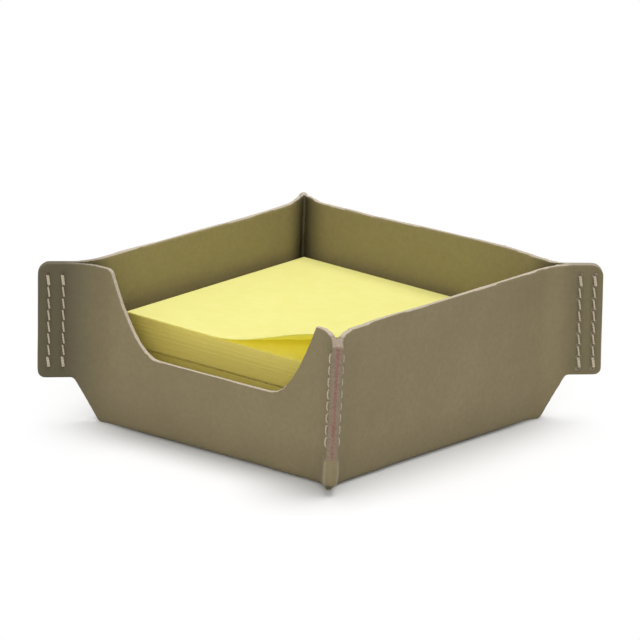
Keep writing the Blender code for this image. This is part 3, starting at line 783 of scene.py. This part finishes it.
def thread_paths(row):
    """The saddle-sewn thread, up the row and back on alternate faces, and its end stitches."""
    _, index, out, low, high = row
    holes = [Vector((out, z)) for z in hole_heights(low, high)]
    hidden_end = Vector((holes[0].x, FIN_HALF - THREAD_TAIL, holes[0].y))
    points = [hidden_end]
    face = -1
    for i in range(STITCHES):
        start, end = stitch_ends(holes, i, face)
        points += stitch_points(start, end, face)
        face = -face
    for i in reversed(range(STITCHES)):
        end, start = stitch_ends(holes, i, face)
        points += stitch_points(start, end, face)
        face = -face
    points.append(hidden_end)
    paths = [placed_on_corner(points, index)]
    shift = Vector((DOUBLED_SHIFT, 0))
    for i in (0, STITCHES - 1):
        for face in (-1, 1):
            start, end = stitch_ends(holes, i, face)
            doubled = stitch_points(start + shift, end + shift, face)
            paths.append(placed_on_corner(doubled, index))
    return paths


def rounded(points, times=2):
    """Cuts the corners of an open line."""
    for _ in range(times):
        cut = [points[0]]
        for a, b in zip(points, points[1:]):
            cut.append(a.lerp(b, 0.25))
            cut.append(a.lerp(b, 0.75))
        cut.append(points[-1])
        points = cut
    return points


def resampled(points, step):
    """Points at equal distances along an open line."""
    lengths = [0.0]
    for a, b in zip(points, points[1:]):
        lengths.append(lengths[-1] + (b - a).length)
    count = max(int(lengths[-1] / step), 2)
    out = []
    at = 0
    for i in range(count + 1):
        want = lengths[-1] * i / count
        while at < len(points) - 2 and lengths[at + 1] < want:
            at += 1
        part = lengths[at + 1] - lengths[at]
        share = (want - lengths[at]) / part if part > 0 else 0
        out.append(points[at].lerp(points[at + 1], min(share, 1)))
    return out


def add_ply(solid, line, phase):
    """One twisted ply around a line, closed at both ends."""
    rings = []
    travelled = 0
    normal = None
    for i, point in enumerate(line):
        ahead = line[min(i + 1, len(line) - 1)]
        behind = line[max(i - 1, 0)]
        tangent = (ahead - behind).normalized()
        if i:
            travelled += (point - line[i - 1]).length
        if normal is None:
            normal = tangent.orthogonal().normalized()
        normal = (normal - tangent * normal.dot(tangent)).normalized()
        other = tangent.cross(normal)

        def spoke(angle, length):
            return (normal * math.cos(angle) + other * math.sin(angle)) * length

        centre = point + spoke(phase + 2 * math.pi * travelled / PLY_LAY, PLY_SWING)
        ring = []
        for k in range(PLY_SIDES):
            place = centre + spoke(2 * math.pi * k / PLY_SIDES, PLY_RADIUS)
            ring.append(solid.verts.new(place))
        rings.append(ring)
    add_rings(solid, rings)


def add_threads(material):
    for row in SEAM_ROWS:
        name = f"{row[0]}_twisted"
        solid = bmesh.new()
        for path in thread_paths(row):
            line = resampled(rounded(path), PLY_STEP)
            for ply in range(PLIES):
                add_ply(solid, line, 2 * math.pi * ply / PLIES)
        mesh = finished_mesh(solid, name)
        shade_smooth(mesh)
        piece = new_piece(name, mesh, (material,))
        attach(piece, "tray")
        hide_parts(row[0])


# Paper


def slab_corners(node):
    """Lower and upper corners of a pad or backing, in order round it."""
    turn = Matrix.Rotation(-STACK_TURN, 3, "Z")
    low = {}
    high = {}
    points = [v.co.copy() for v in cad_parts[node].data.vertices]
    centre = sum(points, Vector()) / len(points)
    for point in points:
        local = turn @ (point - centre)
        key = (local.x > 0, local.y > 0)
        if key not in low or point.z < low[key].z:
            low[key] = point
        if key not in high or point.z > high[key].z:
            high[key] = point
    order = ((False, False), (True, False), (True, True), (False, True))
    return [low[k] for k in order], [high[k] for k in order]


def add_block(name, node, body, materials, levels, spread, seed):
    """A block of sheets whose edges lie a little out of line."""
    rng = random.Random(seed)
    low, high = slab_corners(node)
    centre = sum(low + high, Vector()) / 8
    waves = []
    for _ in range(5):
        waves.append((rng.uniform(0.5, 2.5), rng.uniform(0, WAVE_TURN), rng.uniform(0.4, 1)))
    solid = bmesh.new()
    tone = solid.verts.layers.float.new("level")
    rings = []
    for level in range(levels + 1):
        share = level / levels
        # The two top levels are brightest, a painted highlight along the block's top edge; the
        # others differ at random
        shade = 2 if level > levels - 2 else rng.random()
        slips = [rng.gauss(0, spread) for _ in range(4)]
        ring = []
        for side in range(4):
            a = low[side].lerp(high[side], share)
            b = low[(side + 1) % 4].lerp(high[(side + 1) % 4], share)
            outward = (b - a).cross(Vector((0, 0, 1))).normalized()
            for i in range(EDGE_STEPS):
                t = i / EDGE_STEPS
                fade = min(min(t, 1 - t) * EDGE_STEPS / 2, 1)
                drift = 0
                for number, (rate, phase, size) in enumerate(waves):
                    angle = rate * WAVE_TURN * t + phase + 2.1 * share * (number + 1) + side
                    drift += size * math.sin(angle)
                slip = slips[side] + drift * spread * 0.15 - 1.5 * spread
                place = a.lerp(b, t) + outward * slip * fade
                if fade == 0:
                    inward = centre - place
                    inward.z = 0
                    place += inward.normalized() * spread * (1.5 + rng.random())
                vertex = solid.verts.new(place)
                vertex[tone] = shade
                ring.append(vertex)
        rings.append(ring)
    top = add_rings(solid, rings)
    top.material_index = 1
    piece = new_piece(name, finished_mesh(solid, name), materials)
    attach(piece, body)
    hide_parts(node)


def curl_line(far, columns):
    """The note's section, as places along and up, at a share of the way to its far edge."""
    start = CURL_START_NEAR + (CURL_START_FAR - CURL_START_NEAR) * far
    x = 0
    lift = 0
    line = []
    for column in range(columns + 1):
        along = NOTE_SIDE * column / columns
        bend = max(along - start, 0) / (NOTE_SIDE - CURL_START_NEAR)
        rise = CURL_LIFT * bend**2 * (3 - 2 * bend)
        step = NOTE_SIDE / columns if column else 0
        x += math.sqrt(max(step**2 - (rise - lift) ** 2, 0))
        lift = rise
        line.append((x, rise))
    return line


def note_rim(grid):
    """The points round a grid of lines."""
    edge = list(grid[0]) + [line[-1] for line in grid[1:]]
    edge += list(reversed(grid[-1][:-1]))
    return edge + [line[0] for line in reversed(grid[1:-1])]


def add_curled_note(material, underside):
    """The top note: flat at its glued edge and curled up at the near free corner."""
    columns, rows = 72, 40
    lean = math.atan2(SHEET_LEAN_FALL, NOTE_SIDE)
    place = Matrix.Translation((*STACK_CENTRE, SHEET_Z)) @ Matrix.Rotation(STACK_TURN, 4, "Z")
    place = place @ Matrix.Translation((-NOTE_SIDE / 2, 0, 0)) @ Matrix.Rotation(lean, 4, "Y")
    solid = bmesh.new()
    grids = []
    for thickness in (0, SHEET):
        grid = []
        for row in range(rows + 1):
            far = row / rows
            y = NOTE_SIDE * (far - 0.5)
            line = []
            for x, rise in curl_line(far, columns):
                line.append(solid.verts.new(place @ Vector((x, y, rise + thickness))))
            grid.append(line)
        grids.append(grid)
    for number, grid in enumerate(grids):
        for near, beyond in zip(grid, grid[1:]):
            for i in range(columns):
                made = solid.faces.new((near[i], near[i + 1], beyond[i + 1], beyond[i]))
                made.material_index = 1 - number
    low, high = note_rim(grids[0]), note_rim(grids[1])
    for i in range(len(low)):
        j = (i + 1) % len(low)
        solid.faces.new((low[i], low[j], high[j], high[i]))
    mesh = finished_mesh(solid, "curled_note")
    shade_smooth(mesh)
    mesh.set_sharp_from_angle(angle=math.radians(40))
    piece = new_piece("curled_note", mesh, (material, underside))
    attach(piece, "loose_note")
    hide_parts("top_sheet")


def add_paper():
    pad_papers = (
        sheet_edge_material("pad_paper", PAD_SIDE),
        paper_material("pad_top_sheet", PAD_TOP),
    )
    backing_papers = (paper_material("backing_paper", BACKING),)
    note = paper_material("note_paper", NOTE, NOTE_THROUGH_SHARE)
    under = paper_material("note_underside", NOTE_UNDERSIDE, UNDERSIDE_THROUGH_SHARE)
    for number, name in enumerate(("lower", "middle", "upper")):
        body = f"pad_{name}"
        add_block(
            f"{name}_pad_sheets", f"memo_pad_{name}", body, pad_papers,
            PAD_LEVELS, PAD_SPREAD, PAD_SEED + number,
        )
        add_block(
            f"{name}_backing_sheet", f"{name}_backing", body, backing_papers,
            BACKING_LEVELS, BACKING_SPREAD, BACKING_SEED + number,
        )
    add_curled_note(note, under)


# Floor and light


def add_floor():
    """A pale floor that keeps the shadow near the tray and is white further out."""
    mesh = bpy.data.meshes.new("floor")
    ring = []
    for i in range(FLOOR_SIDES):
        angle = 2 * math.pi * i / FLOOR_SIDES
        ring.append((FLOOR_RADIUS * math.cos(angle), FLOOR_RADIUS * math.sin(angle), FLOOR_Z))
    mesh.from_pydata(ring, [], [list(range(FLOOR_SIDES))])
    material = bpy.data.materials.new("pale_floor")
    material.use_nodes = True
    tree = material.node_tree
    tree.nodes.clear()
    new = tree.nodes.new
    link = tree.links.new

    # Shown to the viewer: lit near the tray, white further out
    place = new("ShaderNodeTexCoord")
    # The shadow shows further out beyond the fins than beyond the ears
    diagonals = new("ShaderNodeMapping")
    diagonals.vector_type = "TEXTURE"
    diagonals.inputs["Rotation"].default_value = (0, 0, math.radians(45))
    diagonals.inputs["Scale"].default_value = (1, SHADOW_STRETCH, 1)
    length = new("ShaderNodeVectorMath")
    length.operation = "LENGTH"
    fade = new("ShaderNodeMapRange")
    fade.interpolation_type = "SMOOTHSTEP"
    fade.inputs["From Min"].default_value = SHADOW_FADE[0]
    fade.inputs["From Max"].default_value = SHADOW_FADE[1]
    seen = new("ShaderNodeBsdfDiffuse")
    seen.inputs["Color"].default_value = (FLOOR_SEEN_TONE, FLOOR_SEEN_TONE, FLOOR_SEEN_TONE, 1)
    glow = new("ShaderNodeEmission")
    shown = new("ShaderNodeMixShader")
    link(place.outputs["Object"], diagonals.inputs["Vector"])
    link(diagonals.outputs["Vector"], length.inputs[0])
    link(length.outputs["Value"], fade.inputs["Value"])
    link(fade.outputs["Result"], shown.inputs[0])
    link(seen.outputs[0], shown.inputs[1])
    link(glow.outputs[0], shown.inputs[2])

    # Light that bounces off the floor sees it plain
    path = new("ShaderNodeLightPath")
    either = new("ShaderNodeMath")
    either.operation = "MAXIMUM"
    any_ray = new("ShaderNodeMath")
    any_ray.operation = "MAXIMUM"
    plain = new("ShaderNodeBsdfDiffuse")
    plain.inputs["Color"].default_value = (FLOOR_TONE, FLOOR_TONE, FLOOR_TONE, 1)
    mix = new("ShaderNodeMixShader")
    out = new("ShaderNodeOutputMaterial")
    link(path.outputs["Is Camera Ray"], either.inputs[0])
    link(path.outputs["Is Glossy Ray"], either.inputs[1])
    link(either.outputs[0], any_ray.inputs[0])
    link(path.outputs["Is Transmission Ray"], any_ray.inputs[1])
    link(any_ray.outputs[0], mix.inputs[0])
    link(plain.outputs[0], mix.inputs[1])
    link(shown.outputs[0], mix.inputs[2])
    link(mix.outputs[0], out.inputs["Surface"])
    floor = new_piece("floor", mesh, (material,))


def add_lamp(name, place, size, power):
    data = bpy.data.lights.new(name, "AREA")
    data.shape = "DISK"
    data.size = size
    data.energy = power
    lamp = bpy.data.objects.new(name, data)
    bpy.context.scene.collection.objects.link(lamp)
    lamp.location = place
    lamp.rotation_euler = (-Vector(place)).to_track_quat("-Z", "Y").to_euler()


def add_light():
    world = bpy.data.worlds.new("studio")
    bpy.context.scene.world = world
    world.use_nodes = True
    tree = world.node_tree
    tree.nodes.clear()
    out = tree.nodes.new("ShaderNodeOutputWorld")
    soft = tree.nodes.new("ShaderNodeBackground")
    soft.inputs["Strength"].default_value = WORLD_STRENGTH
    white = tree.nodes.new("ShaderNodeBackground")
    white.inputs["Strength"].default_value = 1
    path = tree.nodes.new("ShaderNodeLightPath")
    mix = tree.nodes.new("ShaderNodeMixShader")
    tree.links.new(path.outputs["Is Camera Ray"], mix.inputs[0])
    tree.links.new(soft.outputs[0], mix.inputs[1])
    tree.links.new(white.outputs[0], mix.inputs[2])
    tree.links.new(mix.outputs[0], out.inputs["Surface"])
    for lamp in LAMPS:
        add_lamp(*lamp)


add_camera()
add_leather(leather_material())
add_threads(thread_material())
add_paper()
add_floor()
add_light()
view = bpy.context.scene.view_settings
view.view_transform = "Standard"
bpy.context.view_layer.update()
